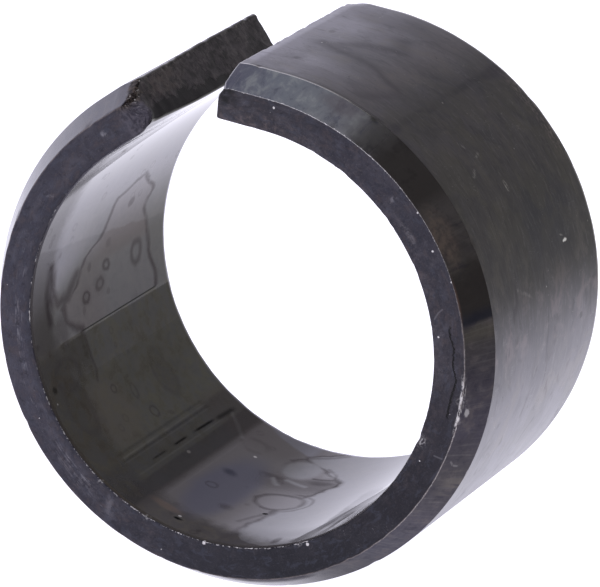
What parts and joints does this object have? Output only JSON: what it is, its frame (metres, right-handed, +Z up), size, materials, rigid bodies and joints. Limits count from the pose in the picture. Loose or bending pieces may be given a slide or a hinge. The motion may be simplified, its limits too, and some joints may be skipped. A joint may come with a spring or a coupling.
{
  "type": "split clamping bush",
  "caption": "Thick-walled steel sleeve rolled from strip and left open along one side, chamfered at one end, that springs out to grip its housing and lines it for a pin.",
  "frame": {"origin": "on the plane the sleeve lies on, under the middle of its length and of its bore", "axes": "+Y along the bore, away from the chamfered end; +Z up through the middle of the slot; +X across the bore"},
  "size_m": [0.052, 0.032, 0.0517],
  "materials": {
    "oiled_spring_steel": "heat-darkened and oiled, satin outside, glossy in the bore"
  },
  "bodies": {
    "root": {"split_sleeve": "oiled_spring_steel"}
  },
  "joints": []
}
